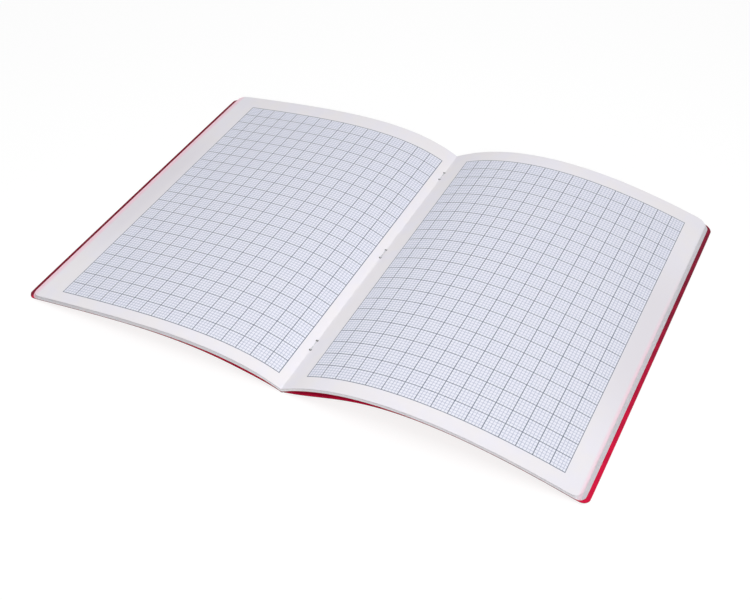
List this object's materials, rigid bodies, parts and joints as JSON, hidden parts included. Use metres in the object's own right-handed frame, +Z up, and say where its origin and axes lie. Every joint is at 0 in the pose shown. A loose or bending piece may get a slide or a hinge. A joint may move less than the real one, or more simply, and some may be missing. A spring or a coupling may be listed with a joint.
{
  "type": "notebook",
  "caption": "Open stapled notebook of nested folded leaves in a soft card cover, lying at its centre spread; leaves, halves and cover panels hinge at the fold.",
  "frame": {"origin": "middle of the flattened card fold, on the table that the notebook lies on", "axes": "+X towards the right-hand page, +Y towards the head of the page, +Z up off the table"},
  "size_m": [0.3732, 0.241, 0.0225],
  "materials": {
    "paper": "matte uncoated white paper with a printed grid",
    "red_card": "red through-coloured card, satin outside",
    "steel_wire": "bright zinc-plated wire"
  },
  "bodies": {
    "right_half": {"right_leaf_03": "paper", "right_leaf_04": "paper", "right_leaf_05": "paper", "right_leaf_06": "paper", "right_leaf_07": "paper", "right_leaf_08": "paper", "right_leaf_09": "paper", "right_leaf_10": "paper", "right_leaf_11": "paper", "right_leaf_12": "paper", "right_leaf_13": "paper", "right_leaf_14": "paper", "right_leaf_15": "paper", "right_leaf_16": "paper", "cover_spine": "red_card", "staple_bottom": "steel_wire", "staple_middle": "steel_wire", "staple_top": "steel_wire"},
    "right_top_leaf": {"right_leaf_01": "paper"},
    "right_second_leaf": {"right_leaf_02": "paper"},
    "left_half": {"left_leaf_03": "paper", "left_leaf_04": "paper", "left_leaf_05": "paper", "left_leaf_06": "paper", "left_leaf_07": "paper", "left_leaf_08": "paper", "left_leaf_09": "paper", "left_leaf_10": "paper", "left_leaf_11": "paper", "left_leaf_12": "paper", "left_leaf_13": "paper", "left_leaf_14": "paper", "left_leaf_15": "paper", "left_leaf_16": "paper"},
    "left_top_leaf": {"left_leaf_01": "paper"},
    "left_second_leaf": {"left_leaf_02": "paper"},
    "front_cover": {"front_cover": "red_card"},
    "back_cover": {"back_cover": "red_card"}
  },
  "joints": [
    {"name": "left_half_close", "type": "hinge", "parent": "right_half", "child": "left_half", "pos_m": [0, 0, 0.00303], "axis": [0, 1, 0], "range_deg": [0, 112]},
    {"name": "left_second_leaf_turn", "type": "hinge", "parent": "left_half", "child": "left_second_leaf", "pos_m": [0, 0, 0.00303], "axis": [0, -1, 0], "range_deg": [-20, 0]},
    {"name": "left_top_leaf_turn", "type": "hinge", "parent": "left_second_leaf", "child": "left_top_leaf", "pos_m": [0, 0, 0.00303], "axis": [0, -1, 0], "range_deg": [-36, 0]},
    {"name": "right_second_leaf_turn", "type": "hinge", "parent": "right_half", "child": "right_second_leaf", "pos_m": [0, 0, 0.00303], "axis": [0, 1, 0], "range_deg": [-20, 0]},
    {"name": "right_top_leaf_turn", "type": "hinge", "parent": "right_second_leaf", "child": "right_top_leaf", "pos_m": [0, 0, 0.00303], "axis": [0, 1, 0], "range_deg": [-36, 0]},
    {"name": "front_cover_fold_back", "type": "hinge", "parent": "left_half", "child": "front_cover", "pos_m": [-0.0011, 0, 0.0006], "axis": [0, 1, 0], "range_deg": [-85, 0]},
    {"name": "back_cover_fold_back", "type": "hinge", "parent": "right_half", "child": "back_cover", "pos_m": [0.0011, 0, 0.0006], "axis": [0, -1, 0], "range_deg": [-85, 0]}
  ]
}
